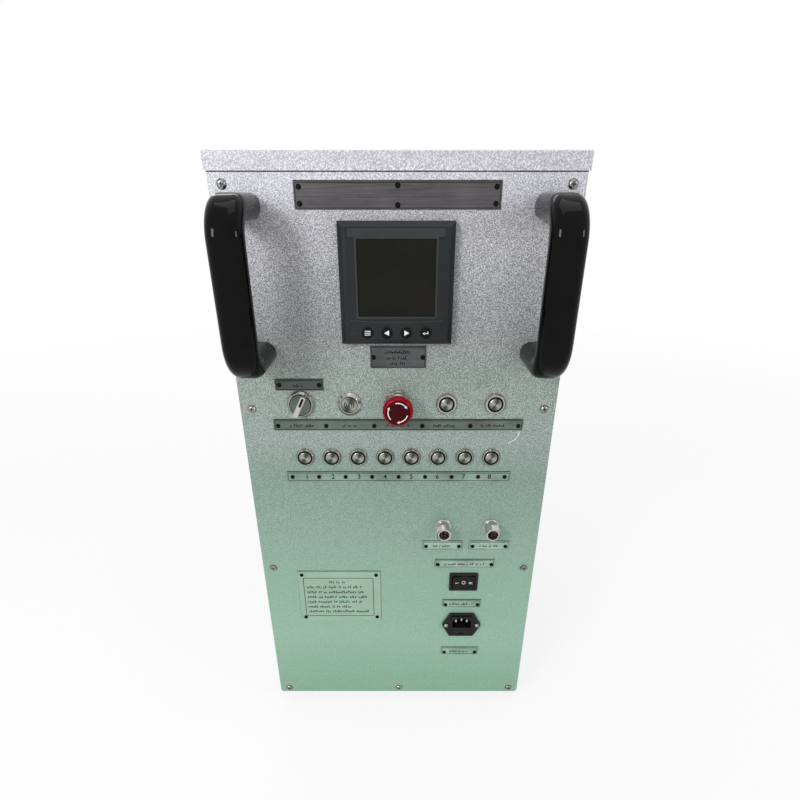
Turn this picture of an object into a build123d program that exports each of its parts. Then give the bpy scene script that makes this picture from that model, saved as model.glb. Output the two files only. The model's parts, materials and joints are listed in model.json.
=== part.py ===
"""Portable generator load bank: a steel cabinet on rubber feet, with a control panel in front,
two axial fans behind guards on the left side, a bank of resistor elements, a slotted outlet
on the right side and a stud terminal board at the rear.

Millimetres, +Z up, front panel facing -Y. The origin is on the floor below the cabinet's centre.
"""
from build123d import *
import os
from math import cos, radians, sin, tan

os.makedirs("parts", exist_ok=True)

# cabinet
body_width = 330.0
body_depth = 560.0
body_height = 639.0
ground_clearance = 20.0
sheet = 2.0
skin = 1.5
lid_lip = 15.0
lid_gap = 0.2
lid_bend = 1.2
panel_corner = 4.0
post_leg = 20.0
post_wall = 2.0
tray_flange = 20.0
bulkhead_setback = 130.0
clearance = 0.2

# handles
handle_pitch = 128.0
handle_reach = 70.0
handle_width = 31.0
handle_depth = 22.0
handle_edge = 10.0
handle_bend = 24.0
handle_inset = 28.0
handle_drop = 106.0
handle_x = body_width / 2 - handle_inset
handle_z = body_height - handle_drop
handle_bolt_r = 3.0

# panel screws
screw_r = 2.0
screw_head_r = 4.0
screw_head_h = 2.2
screw_hole_r = 2.2
screw_length = 8.0
screw_edge = 12.0
screw_low = 7.0
screw_mid = 411.0
screw_drop = 25.0
screw_high = body_height - screw_drop

# label plates and their rivets
plate_t = 1.0
rivet_r = 1.2
rivet_hole_r = 1.3
rivet_head_r = 2.3
rivet_head_h = 1.5
header_w = 182.0
header_h = 22.0
header_drop = 33.4
control_strip_w = 264.0
control_strip_h = 12.0
control_strip_under = 23.0
control_rivet_pitch = 51.0
load_strip_w = 248.0
load_strip_h = 11.5
load_strip_under = 23.7
load_rivet_pitch = 29.5
notice_inset = 91.6
notice_drop = 472.0
notice_x = notice_inset - body_width / 2
notice_z = body_height - notice_drop
notice_w = 102.0
notice_h = 76.0
meter_label_w = 55.4
meter_label_h = 21.5
meter_label_under = 68.0
selector_label_w = 49.0
selector_label_h = 11.5
selector_label_over = 20.0
port_label_w = 47.6
port_label_h = 12.0
port_label_under = 26.4
stop_label_w = 72.2
stop_label_h = 11.8
stop_label_over = 27.0
short_label_w = 48.6
rocker_label_h = 12.0
rocker_label_under = 34.0
inlet_label_h = 12.2
inlet_label_under = 46.0

# power meter
meter_face = 106.0
meter_reach = 12.0
meter_case = 97.0
meter_case_depth = 70.0
meter_drop = 106.0
meter_z = body_height - meter_drop
meter_x = -1.0
screen_w = 72.0
screen_h = 66.0
screen_rise = 6.0
screen_sink = 3.0
screen_t = 1.5
key_r = 4.3
key_pitch = 18.6
key_drop = 42.0
key_travel = 0.8
key_gap = 0.3
key_length = 8.0

# controls in the upper row
row_pitch = 50.6
row_drop = 222.0
row_z = body_height - row_drop
barrel_r = 11.0
selector_flange_r = 14.2
selector_flange_h = 5.0
selector_disc_r = 11.2
selector_bar = 24.0
selector_bar_w = 5.2
selector_bar_h = 8.5
selector_tilt = 27.0
selector_shaft_r = 6.0
shaft_gap = 0.08
buzzer_flange_r = 12.2
stop_flange_r = 14.6
stop_collar_r = 12.4
stop_collar_h = 9.0
stop_stem_r = 7.5
stop_head_r = 15.4
stop_head_low = 16.0
stop_head_h = 13.0
stop_travel = 4.0
stop_neck_r = 5.5

# push buttons
load_button_r = 10.2
control_button_r = 11.2
button_h = 3.4
button_bore_r = 6.7
button_cap_r = 6.4
button_barrel_r = 8.0
button_barrel = 28.0
button_travel = 1.6
load_pitch = 29.0
load_count = 8
load_drop = 282.0
load_z = body_height - load_drop

# data ports, rocker switch and mains inlet
port_pitch = 55.6
port_inset = 84.7
port_drop = 370.0
port_x = body_width / 2 - port_inset
port_z = body_height - port_drop
port_barrel_r = 7.6
port_reach = 21.0
port_bore_r = 6.0
port_flange_r = 9.6
port_flange_h = 2.2
rocker_inset = 84.5
rocker_drop = 449.5
rocker_x = body_width / 2 - rocker_inset
rocker_z = body_height - rocker_drop
rocker_frame_w = 35.4
rocker_frame_h = 26.4
rocker_window_w = 29.0
rocker_window_h = 19.0
rocker_radius = 13.6
rocker_wall = 1.0
inlet_inset = 83.8
inlet_drop = 517.0
inlet_x = body_width / 2 - inlet_inset
inlet_z = body_height - inlet_drop
inlet_w = 50.0
inlet_h = 36.0
inlet_flange = 4.0
inlet_pitch = 40.0
inlet_body_w = 27.0
inlet_body_h = 31.0
inlet_rise = 2.0
inlet_depth = 26.0
socket_w = 24.0
socket_h = 15.0
socket_depth = 16.0
socket_up = 5.5
blade_w = 2.0
blade_h = 4.0
blade_pitch = 7.0
blade_recess = 5.0
drawer_w = 22.0
drawer_h = 8.0
drawer_depth = 20.0
drawer_down = 10.0
drawer_gap = 0.3
drawer_wall = 1.5
fuse_r = 2.5

# fans
fan_bore_r = 135.0
fan_tip_r = 131.0
fan_hub_r = 44.0
fan_hub_w = 34.0
fan_blades = 5
fan_plate = 286.0
fan_duct = 48.0
fan_spread = 144.0
fan_gap = 3.5
fan_shaft_r = 6.0
guard_wire = 1.25
guard_rings = 9
guard_disc_r = 24.0

# resistor bank
element_r = 6.0
element_rows = 11
element_columns = 3
element_pitch_z = 48.0
element_pitch_x = 34.0
rack_wall = 2.0
rack_width = 120.0
rack_gap = 20.0
rack_setback = 34.0

# outlet slots
slot_w = 112.0
slot_h = 12.0
slot_rows = 23
slot_columns = 3
slot_pitch_z = 24.0
slot_pitch_y = 132.0

# rear terminals
terminal_pitch = 46.0
terminal_board_w = 236.0
terminal_board_h = 54.0
terminal_board_t = 12.0
terminal_z = 190.0
stud_r = 5.0
stud_free = 30.0
stud_root_r = 6.0
stud_hex = 17.0
stud_hex_h = 8.0

# feet
foot_r = 19.0
foot_top_r = 15.0
foot_x = 125.0
foot_y = 235.0
foot_bolt_r = 2.5
foot_recess_r = 7.0
foot_seat = 8.0

# places worked out from the driving sizes
front_y = -body_depth / 2
rear_y = body_depth / 2
floor_z = ground_clearance
top_z = ground_clearance + body_height
inner_x = body_width / 2 - skin
inner_front = front_y + sheet
inner_rear = rear_y - sheet
bulkhead_y = front_y + bulkhead_setback
duct_y = (bulkhead_y + sheet + inner_rear) / 2
duct_z = floor_z + body_height / 2
fan_x = -inner_x + fan_gap
selector_x, buzzer_x, stop_x, supply_x, confirm_x = [(i - 2) * row_pitch for i in range(5)]
load_x = [(i - (load_count - 1) / 2) * load_pitch for i in range(load_count)]
button_places = [(x, load_z, load_button_r) for x in load_x]
button_places += [(supply_x, row_z, control_button_r), (confirm_x, row_z, control_button_r)]
foot_places = [(sx * foot_x, sy * foot_y) for sx in (-1, 1) for sy in (-1, 1)]
port_places = [(port_x + side * port_pitch / 2, port_z) for side in (-1, 1)]

LOW = (Align.CENTER, Align.CENTER, Align.MIN)
HIGH = (Align.CENTER, Align.CENTER, Align.MAX)


def on_front(x, z, out=0.0):
    """A place on the front panel's outer face: local x is right, y is up, z is outwards."""
    face = Plane(origin=(x, front_y, floor_z + z), x_dir=(1, 0, 0), z_dir=(0, -1, 0))
    return Location(face) * Pos(0, 0, out)


def on_rear(x, z, out=0.0):
    """A place on the rear panel's outer face, seen from behind."""
    face = Plane(origin=(x, rear_y, floor_z + z), x_dir=(-1, 0, 0), z_dir=(0, 1, 0))
    return Location(face) * Pos(0, 0, out)


def disc(radius, height, low=0.0):
    return Pos(0, 0, low) * Cylinder(radius, height, align=LOW)


def block(width, height, thick, low=0.0):
    return Pos(0, 0, low) * Box(width, height, thick, align=LOW)


def turned(*points):
    """A lathe part about its local Z from (radius, height) points."""
    outline = Polyline(*[(r, 0, h) for r, h in points], close=True)
    return revolve(make_face(outline), Axis.Z)


def spread(low, high):
    """A box between two corners."""
    size = [b - a for a, b in zip(low, high)]
    return Pos(*low) * Box(*size, align=(Align.MIN, Align.MIN, Align.MIN))


def save(name, *shapes):
    solids = [s for shape in shapes for s in shape.solids()]
    export_step(Compound(solids) if len(solids) > 1 else solids[0], f"parts/{name}.step")


def plate_row(x, z, width, height, rivets):
    """One label plate: its place, size and rivet places relative to its centre."""
    return {"x": x, "z": z, "w": width, "h": height, "rivets": rivets}


def ends(width, inset, rise=0.0):
    return [(-width / 2 + inset, rise), (width / 2 - inset, rise)]


def corners(width, height, inset):
    return [(sx * (width / 2 - inset), sz * (height / 2 - inset)) for sx in (-1, 1) for sz in (-1, 1)]


header_label = plate_row(0.3, body_height - header_drop, header_w, header_h,
                         corners(header_w, header_h, 4.5) + [(0, 7.5), (0, -7.5)])
upper_strip = plate_row(0.2, row_z - control_strip_under, control_strip_w, control_strip_h,
                        [((i - 2.5) * control_rivet_pitch, -1.0) for i in range(6)])
lower_strip = plate_row(0.4, load_z - load_strip_under, load_strip_w, load_strip_h,
                        [((i - 4) * load_rivet_pitch, 0.0) for i in range(9)])
notice_label = plate_row(notice_x, notice_z, notice_w, notice_h, corners(notice_w, notice_h, 5.2))
port_labels = [plate_row(x, z - port_label_under, port_label_w, port_label_h, ends(port_label_w, 4.2, -1.0))
               for x, z in port_places]
small_labels = [
    plate_row(0.4, meter_z - meter_label_under, meter_label_w, meter_label_h, ends(meter_label_w, 3.2)),
    plate_row(selector_x, row_z + selector_label_over, selector_label_w, selector_label_h,
              ends(selector_label_w, 4.0)),
    *port_labels,
    plate_row(rocker_x, rocker_z + stop_label_over, stop_label_w, stop_label_h, ends(stop_label_w, 3.6, -1.0)),
    plate_row(rocker_x - 0.6, rocker_z - rocker_label_under, short_label_w, rocker_label_h,
              ends(short_label_w, 4.0, -1.5)),
    plate_row(inlet_x, inlet_z - inlet_label_under, short_label_w, inlet_label_h,
              ends(short_label_w, 4.0, -2.0)),
]
all_labels = [
    plate_row(0.4, 465.0, 55.4, 21.5, ends(55.4, 3.2)),
    plate_row(selector_x, 437.0, 49.0, 11.5, ends(49.0, 4.0)),
    plate_row(port_places[0][0], 242.6, 47.6, 12.0, ends(47.6, 4.2, -1.0)),
    plate_row(port_places[1][0], 242.6, 47.6, 12.0, ends(47.6, 4.2, -1.0)),
    plate_row(rocker_x, 216.5, 72.2, 11.8, ends(72.2, 3.6, -1.0)),
    plate_row(rocker_x - 0.6, 155.5, 48.6, 12.0, ends(48.6, 4.0, -1.5)),
    plate_row(inlet_x, 76.0, 48.6, 12.2, ends(48.6, 4.0, -2.0)),
]
all_labels = [header_label, upper_strip, lower_strip, notice_label] + small_labels


def label_plate(label):
    plate = block(label["w"], label["h"], plate_t)
    for x, z in label["rivets"]:
        plate -= Pos(x, z, 0) * disc(rivet_hole_r, plate_t)
    return on_front(label["x"], label["z"]) * plate


def rivet(x, z):
    head = turned((0, plate_t), (rivet_head_r, plate_t), (rivet_head_r, plate_t + rivet_head_h * 0.4),
                  (rivet_head_r * 0.75, plate_t + rivet_head_h * 0.85), (0, plate_t + rivet_head_h))
    return on_front(x, z) * (head + disc(rivet_r, plate_t + sheet + 1, -sheet - 1))


def rivets():
    for label in all_labels:
        for x, z in label["rivets"]:
            yield label["x"] + x, label["z"] + z


def cross_screw():
    """A pan-head screw with a cross recess, its bearing face on the local XY plane."""
    head = turned((0, 0), (screw_head_r, 0), (screw_head_r, screw_head_h * 0.45),
                  (screw_head_r * 0.7, screw_head_h * 0.9), (0, screw_head_h))
    recess = block(screw_head_r * 1.1, 0.8, screw_head_h, screw_head_h * 0.4)
    return head - recess - Rot(0, 0, 90) * recess + disc(screw_r, screw_length, -screw_length)


front_screws = [(side * (body_width / 2 - screw_edge), z) for side in (-1, 1)
                for z in (screw_low, screw_mid, screw_high)] + [(0, screw_low)]
rear_screws = [(side * (body_width / 2 - screw_edge), z) for side in (-1, 1)
               for z in (screw_low, screw_mid, screw_high)]
side_screws = [(side * (body_depth / 2 - screw_edge - sheet), z) for side in (-1, 1)
               for z in (screw_low + 20, screw_mid - 40, screw_high - 20)]


lid_screws = [(side * (body_depth / 2 - screw_edge - sheet), body_height - lid_lip / 2) for side in (-1, 1)]


def on_side(side, y, z, out=0.0):
    """A place on the left (-1) or right (+1) side's outer face."""
    face = Plane(origin=(side * body_width / 2, y, floor_z + z), x_dir=(0, side, 0), z_dir=(side, 0, 0))
    return Location(face) * Pos(0, 0, out)


def handle_feet(at):
    return [at(side * handle_x, handle_z + end * handle_pitch / 2) for side in (-1, 1) for end in (-1, 1)]


# cabinet
def base_tray():
    floor = spread((-inner_x, inner_front, floor_z), (inner_x, inner_rear, floor_z + sheet))
    tray = floor
    for side in (-1, 1):
        run = spread((-sheet / 2, inner_front + post_leg, floor_z),
                     (sheet / 2, inner_rear - post_leg, floor_z + tray_flange))
        tray += Pos(side * (inner_x - sheet / 2), 0, 0) * run
        end = spread((-inner_x + post_leg, -sheet / 2, floor_z),
                     (inner_x - post_leg, sheet / 2, floor_z + tray_flange))
        tray += Pos(0, side * (body_depth / 2 - 1.5 * sheet), 0) * end
    tray -= on_front(0, screw_low) * disc(screw_hole_r, screw_length + sheet, -screw_length - sheet)
    for x, y in foot_places:
        tray -= Pos(x, y, floor_z) * disc(foot_bolt_r + clearance, sheet)
    return tray


def inner_frame():
    """Four corner posts and the bulkhead between the control bay and the air duct."""
    solids = []
    low, high = floor_z + sheet, top_z - skin
    for sx in (-1, 1):
        for sy in (-1, 1):
            x, y = sx * inner_x, sy * (body_depth / 2 - sheet)
            outer = spread((min(x, x - sx * post_leg), min(y, y - sy * post_leg), low),
                           (max(x, x - sx * post_leg), max(y, y - sy * post_leg), high))
            cut_x, cut_y = x - sx * post_wall, y - sy * post_wall
            inner = spread((min(cut_x, cut_x - sx * post_leg), min(cut_y, cut_y - sy * post_leg), low),
                           (max(cut_x, cut_x - sx * post_leg), max(cut_y, cut_y - sy * post_leg), high))
            solids.append(outer - inner)
    posts = Compound(solids)
    for cutter in screw_cutters():
        posts -= cutter
    wall = spread((-inner_x + sheet, bulkhead_y, low), (inner_x - sheet, bulkhead_y + sheet, high))
    return [*posts.solids(), wall]


def screw_cutters():
    """The clearance holes that every panel screw passes through."""
    hole = disc(screw_hole_r, screw_length + sheet, -screw_length - sheet)
    for x, z in front_screws:
        yield on_front(x, z) * hole
    for x, z in rear_screws:
        yield on_rear(x, z) * hole
    for side in (-1, 1):
        for y, z in side_screws + lid_screws:
            yield on_side(side, y, z) * hole


def end_panel(at):
    """The plain front or rear sheet, with rounded lower corners and its screw and handle holes."""
    height = body_height - skin
    panel = Pos(0, height / 2, -sheet) * Box(body_width, height, sheet, align=LOW)
    low_edges = [e for e in panel.edges().filter_by(Axis.Z) if e.center().Y < 1]
    panel = at(0, 0) * fillet(low_edges, panel_corner)
    for place in handle_feet(at):
        panel -= place * disc(handle_bolt_r + clearance, sheet, -sheet)
    return panel


def front_panel():
    panel = end_panel(on_front)
    cuts = [on_front(x, z) * disc(screw_hole_r, sheet, -sheet) for x, z in front_screws]
    cuts += [on_front(x, z) * disc(rivet_hole_r, sheet, -sheet) for x, z in rivets()]
    cuts += [on_front(x, z) * disc(button_barrel_r + clearance, sheet, -sheet) for x, z, _ in button_places]
    cuts += [on_front(x, row_z) * disc(barrel_r + clearance, sheet, -sheet)
             for x in (selector_x, buzzer_x, stop_x)]
    cuts += [on_front(x, z) * disc(port_barrel_r + clearance, sheet, -sheet) for x, z in port_places]
    meter_hole = meter_case + 2 * clearance
    cuts.append(on_front(meter_x, meter_z) * block(meter_hole, meter_hole, sheet, -sheet))
    wall = 2 * (rocker_wall + clearance)
    cuts.append(on_front(rocker_x, rocker_z)
                * block(rocker_window_w + wall, rocker_window_h + wall, sheet, -sheet))
    cuts.append(on_front(inlet_x, inlet_z)
                * block(inlet_body_w + 2 * clearance, inlet_body_h + 2 * clearance, sheet, -sheet))
    cuts += [on_front(inlet_x + side * inlet_pitch / 2, inlet_z) * disc(rivet_hole_r + 0.4, sheet, -sheet)
             for side in (-1, 1)]
    for cut in cuts:
        panel -= cut
    return panel


def rear_panel():
    panel = end_panel(on_rear)
    for x, z in rear_screws:
        panel -= on_rear(x, z) * disc(screw_hole_r, sheet, -sheet)
    for x in stud_places():
        panel -= on_rear(x, terminal_z) * disc(stud_root_r + 3, sheet, -sheet)
    for x, z in corners(terminal_board_w, terminal_board_h, 8.0):
        panel -= on_rear(x, terminal_z + z) * disc(screw_hole_r, sheet, -sheet)
    return panel


def stud_places():
    return [(i - 2) * terminal_pitch for i in range(5)]


def side_sheet(side):
    low = (min(side * inner_x, side * body_width / 2), inner_front, floor_z)
    high = (max(side * inner_x, side * body_width / 2), inner_rear, top_z - skin)
    panel = spread(low, high)
    hole = disc(screw_hole_r, skin, -skin)
    for y, z in side_screws + lid_screws:
        panel -= on_side(side, y, z) * hole
    return panel


def left_side_panel():
    panel = side_sheet(-1)
    for z in (-fan_spread, fan_spread):
        panel -= on_side(-1, duct_y, body_height / 2 + z) * disc(fan_bore_r, skin, -skin)
        for y, w in corners(fan_plate, fan_plate, 9.0):
            panel -= on_side(-1, duct_y + y, body_height / 2 + z + w) * disc(screw_hole_r, skin, -skin)
    return panel


def right_side_panel():
    panel = side_sheet(1)
    slot = extrude(SlotOverall(slot_w, slot_h), -skin)
    for row in range(slot_rows):
        for column in range(slot_columns):
            y = duct_y + (column - (slot_columns - 1) / 2) * slot_pitch_y
            z = body_height / 2 + (row - (slot_rows - 1) / 2) * slot_pitch_z
            panel -= on_side(1, y, z) * slot
    return panel


def top_cover():
    half_x, half_y = body_width / 2 + lid_gap + skin, body_depth / 2 + lid_gap + skin
    lid = spread((-half_x, -half_y, top_z - lid_lip), (half_x, half_y, top_z))
    lid = fillet(lid.faces().sort_by(Axis.Z)[-1].edges(), lid_bend)
    hollow = spread((-half_x + skin, -half_y + skin, top_z - lid_lip),
                    (half_x - skin, half_y - skin, top_z - skin))
    lid -= hollow
    for side in (-1, 1):
        for y, z in lid_screws:
            lid -= on_side(side, y, z) * disc(screw_hole_r, lid_gap + skin + 1)
    return lid


# handles and fasteners
def handle():
    """A bow handle standing on its local XY plane, feet along local Y."""
    half = handle_pitch / 2
    path = FilletPolyline((0, -half, 0), (0, -half, handle_reach), (0, half, handle_reach), (0, half, 0),
                          radius=handle_bend)
    bow = sweep(Pos(0, -half, 0) * RectangleRounded(handle_width, handle_depth, handle_edge), path=path)
    for end in (-half, half):
        bow -= Pos(0, end, 0) * disc(handle_bolt_r + 0.1, 18)
    return bow


def panel_screws():
    screw = cross_screw()
    placed = [on_front(x, z) * screw for x, z in front_screws]
    placed += [on_rear(x, z) * screw for x, z in rear_screws]
    # low heads on the sides, level with the lid's lip
    flat = disc(screw_r, screw_length, -screw_length) + disc(screw_head_r, lid_gap + skin)
    slot = block(screw_head_r * 1.1, 0.8, 0.9, lid_gap + skin - 0.9)
    flat = flat - slot - Rot(0, 0, 90) * slot
    for side in (-1, 1):
        placed += [on_side(side, y, z) * flat for y, z in side_screws]
        placed += [on_side(side, y, z, lid_gap + skin) * flat for y, z in lid_screws]
    for z in (-fan_spread, fan_spread):
        placed += [on_side(-1, duct_y + y, body_height / 2 + z + w) * flat
                   for y, w in corners(fan_plate, fan_plate, 9.0)]
    placed += [on_rear(x, terminal_z + z, terminal_board_t)
               * (cross_screw() + disc(screw_r, 10, -terminal_board_t - sheet - 4))
               for x, z in corners(terminal_board_w, terminal_board_h, 8.0)]
    bolt = disc(handle_bolt_r, sheet + 14, -sheet) + disc(handle_bolt_r * 1.8, 5, -sheet - 5)
    placed += [place * bolt for place in handle_feet(on_front) + handle_feet(on_rear)]
    # foot bolts pass up through the tray to their nuts
    bolt = disc(foot_bolt_r, floor_z - foot_seat + sheet + 8) + disc(foot_bolt_r * 1.8, 2.5, -2.5)
    bolt_head = extrude(RegularPolygon(4.0, 6, major_radius=False), 4)
    bolt += bolt_head.moved(Location((0, 0, floor_z - foot_seat + sheet)))
    placed += [Pos(x, y, foot_seat) * bolt for x, y in foot_places]
    for side in (-1, 1):
        head = turned((0, 0), (2.6, 0), (2.6, 0.6), (1.6, 1.4), (0, 1.6))
        spot = on_front(inlet_x + side * inlet_pitch / 2, inlet_z, inlet_flange)
        placed.append(spot * (head + disc(1.5, inlet_flange + sheet + 3, -inlet_flange - sheet - 3)))
    return placed


# power meter
def meter_housing():
    bezel = block(meter_face, meter_face, meter_reach)
    bezel = chamfer(bezel.faces().sort_by(Axis.Z)[-1].edges(), 3.5, 4.5)
    case = block(meter_case, meter_case, meter_case_depth, -meter_case_depth)
    body = bezel + case
    window = Pos(0, screen_rise, meter_reach - screen_sink) * Box(screen_w, screen_h, screen_sink, align=LOW)
    body -= window
    band = Pos(0, meter_face / 2 - 9, meter_reach - 0.6) * Box(meter_face - 16, 9, 0.6, align=LOW)
    body -= fillet(band.edges().filter_by(Axis.Z), 2.5)
    for x in key_places():
        body -= Pos(x, -key_drop, 0) * disc(key_r + key_gap, key_length + 2, meter_reach - key_length - 2)
    return on_front(meter_x, meter_z) * body


def key_places():
    return [(i - 1.5) * key_pitch for i in range(4)]


def meter_key(x):
    rise = meter_reach + 1.0
    key = disc(key_r, key_length, rise - key_length)
    key = fillet(key.faces().sort_by(Axis.Z)[-1].edges(), 0.6)
    return on_front(meter_x + x, meter_z - key_drop) * key


def meter_screen():
    glass = block(screen_w - 0.4, screen_h - 0.4, screen_t, meter_reach - screen_sink)
    return on_front(meter_x, meter_z + screen_rise) * glass


# upper row
def selector_collar():
    recess_r, bore_r = selector_disc_r + 0.3, selector_shaft_r + shaft_gap
    collar = turned((0, -30), (barrel_r, -30), (barrel_r, 0), (selector_flange_r, 0), (selector_flange_r, 2.0),
                    (selector_disc_r + 1.0, selector_flange_h), (recess_r, selector_flange_h),
                    (recess_r, 2.0), (bore_r, 2.0), (bore_r, -12), (0, -12))
    return on_front(selector_x, row_z) * collar


def selector_knob():
    """Disc on a short shaft, with a finger bar whose tail runs past the disc."""
    top = selector_flange_h + 1.0
    knob = turned((0, -11.7), (selector_shaft_r, -11.7), (selector_shaft_r, 2.3), (selector_disc_r, 2.3),
                  (selector_disc_r, top - 0.6), (selector_disc_r - 0.6, top), (0, top))
    bar = block(selector_bar_w, selector_bar, selector_bar_h, top)
    bar = fillet(bar.edges().filter_by(Axis.Z), 1.8)
    bar = chamfer(bar.faces().sort_by(Axis.Z)[-1].edges(), 0.6)
    return on_front(selector_x, row_z) * Rot(0, 0, -selector_tilt) * (knob + bar)


def fault_buzzer():
    shell = turned((0, -24), (barrel_r, -24), (barrel_r, 0), (buzzer_flange_r, 0), (buzzer_flange_r, 1.6),
                   (9.6, 4.0), (8.6, 4.0), (8.4, 3.3), (7.6, 3.3), (7.4, 4.0), (0, 4.0))
    return on_front(buzzer_x, row_z) * (shell - disc(0.8, 6, -1))


def stop_collar():
    collar = turned((0, -36), (barrel_r, -36), (barrel_r, 0), (stop_flange_r, 0), (stop_flange_r, 1.8),
                    (stop_flange_r - 1.2, 3.2), (stop_collar_r, 3.2), (stop_collar_r, stop_collar_h - 1),
                    (stop_collar_r - 1, stop_collar_h), (stop_stem_r + 0.3, stop_collar_h),
                    (stop_stem_r + 0.3, -16), (0, -16))
    return on_front(stop_x, row_z) * collar


def stop_stem():
    top = stop_head_low - 0.3
    stem = turned((0, -11.5), (stop_stem_r, -11.5), (stop_stem_r, top), (stop_neck_r, top),
                  (stop_neck_r, top + 8), (0, top + 8))
    return on_front(stop_x, row_z) * stem


def stop_head():
    low, high = stop_head_low, stop_head_low + stop_head_h
    head = turned((stop_neck_r + 0.1, low), (9.5, low), (stop_head_r - 0.6, low + 3.4), (stop_head_r, low + 5),
                  (stop_head_r, high - 3.2), (stop_head_r - 1.6, high - 0.8), (stop_head_r - 3.0, high),
                  (0, high), (0, low + 8.4), (stop_neck_r + 0.1, low + 8.4))
    flute = Pos(stop_head_r + 0.5, 0, 0) * disc(1.1, stop_head_h, low)
    for i in range(30):
        head -= Rot(0, 0, i * 12.0) * flute
    return on_front(stop_x, row_z) * head


# push buttons
def button_body(flange_r):
    """Bevelled flange, dark seat ring and a blind bore that guides the cap."""
    return turned((0, -button_barrel), (button_barrel_r, -button_barrel), (button_barrel_r, 0), (flange_r, 0),
                  (flange_r, 1.0), (flange_r - 1.5, button_h), (button_bore_r + 1.6, button_h),
                  (button_bore_r + 1.4, button_h - 0.8), (button_bore_r, button_h - 0.8), (button_bore_r, -8), (0, -8))


def button_cap():
    top = button_h + 1.0
    return turned((0, top - 10), (button_cap_r, top - 10), (button_cap_r, top - 1.0),
                  (button_cap_r - 0.5, top - 0.5), (button_cap_r - 2.4, top - 0.1), (0, top))


# ports, switch and inlet
def port_shell():
    tail = -14.0
    shell = turned((0, tail), (port_barrel_r, tail), (port_barrel_r, 0), (port_flange_r, 0),
                   (port_flange_r, port_flange_h * 0.7), (port_flange_r - 0.7, port_flange_h),
                   (port_barrel_r, port_flange_h), (port_barrel_r, port_reach), (port_bore_r, port_reach),
                   (port_bore_r, 6), (0, 6))
    nut = extrude(RegularPolygon(10.5, 6) - Circle(port_barrel_r - 0.5), -3)
    return shell + nut.moved(Location((0, 0, -sheet)))


def port_insert():
    insert = disc(port_bore_r - 0.1, 4, 6)
    insert += Pos(0, port_bore_r - 1.2, 0) * block(2.0, 1.6, 8, 8)
    for angle in (30, 150, 270):
        insert += Rot(0, 0, angle) * Pos(2.6, 0, 0) * disc(0.7, 6.5, 9)
    return insert


def rocker_frame():
    rim = block(rocker_frame_w, rocker_frame_h, 2.4)
    rim = fillet(rim.edges().filter_by(Axis.Z), 2.0)
    rim = chamfer(rim.faces().sort_by(Axis.Z)[-1].edges(), 0.8)
    outer = block(rocker_window_w + 2 * rocker_wall, rocker_window_h + 2 * rocker_wall, 24, -24)
    hollow = block(rocker_window_w, rocker_window_h, 40, -16)
    return on_front(rocker_x, rocker_z) * (rim + outer - hollow)


def power_rocker():
    """The rocking cap: a drum about its vertical pivot, topped by two shallow wings."""
    drum = Rot(90, 0, 0) * Cylinder(rocker_radius, rocker_window_h - 1.0)
    below = Pos(0, 0, -rocker_radius) * Box(40, 40, rocker_radius * 2)
    wing_z = 4.4
    wings = Polyline((-rocker_radius + 0.1, 0), (rocker_radius - 0.1, 0), (rocker_radius - 0.1, wing_z),
                     (0, wing_z - 2.2), (-rocker_radius + 0.1, wing_z), close=True)
    top = extrude(Plane.XZ * make_face(wings), (rocker_window_h - 1.0) / 2, both=True)
    pins = Rot(90, 0, 0) * Cylinder(1.6, rocker_window_h - 0.5)
    return on_front(rocker_x, rocker_z) * (drum & below) + on_front(rocker_x, rocker_z) * (top + pins)


def inlet_outline():
    half_w, half_h, shoulder = inlet_w / 2, inlet_h / 2, 15.5
    points = [(-half_w, 0), (-shoulder, half_h), (shoulder, half_h),
              (half_w, 0), (shoulder, -half_h), (-shoulder, -half_h)]
    return fillet(make_face(Polyline(*points, close=True)).vertices(), 2.0)


def socket_outline():
    half_w, half_h, cut = socket_w / 2, socket_h / 2, 4.5
    points = [(-half_w, -half_h), (-half_w, half_h - cut), (-half_w + cut, half_h), (half_w - cut, half_h),
              (half_w, half_h - cut), (half_w, -half_h)]
    return make_face(Polyline(*points, close=True))


def inlet_socket():
    flange = extrude(inlet_outline(), inlet_flange)
    flange = chamfer(flange.faces().sort_by(Axis.Z)[-1].edges(), 0.8)
    body = block(inlet_body_w, inlet_body_h, inlet_flange + inlet_rise + inlet_depth, -inlet_depth)
    body = fillet(body.edges().filter_by(Axis.Z), 1.5)
    face = inlet_flange + inlet_rise
    socket = flange + body
    socket -= Pos(0, socket_up, face - socket_depth) * extrude(socket_outline(), socket_depth)
    pocket_w, pocket_h = drawer_w + 2 * drawer_gap, drawer_h + 2 * drawer_gap
    socket -= Pos(0, -drawer_down, 0) * block(pocket_w, pocket_h, drawer_depth + drawer_gap,
                                              face - drawer_depth - drawer_gap)
    for side in (-1, 1):
        socket -= Pos(side * inlet_pitch / 2, 0, 0) * disc(rivet_hole_r + 0.4, inlet_flange)
    return on_front(inlet_x, inlet_z) * socket


def inlet_pins():
    face = inlet_flange + inlet_rise
    length = socket_depth - blade_recess
    for x, z in ((-blade_pitch, 0.0), (0.0, 2.2), (blade_pitch, 0.0)):
        blade = block(blade_w, blade_h, length, face - socket_depth)
        yield on_front(inlet_x + x, inlet_z + socket_up + z) * blade


def fuse_drawer():
    """A tray open at the top, with a pull lip on its front wall."""
    face = inlet_flange + inlet_rise
    drawer = block(drawer_w, drawer_h, drawer_depth, face - drawer_depth)
    drawer -= Pos(0, drawer_wall, 0) * block(drawer_w - 3, drawer_h, drawer_depth - 5,
                                             face - drawer_depth + 2)
    lip = Pos(0, -drawer_h / 2 + 1.2, 0) * block(8, 2.0, 1.2, face)
    return on_front(inlet_x, inlet_z - drawer_down) * (drawer + lip)


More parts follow.
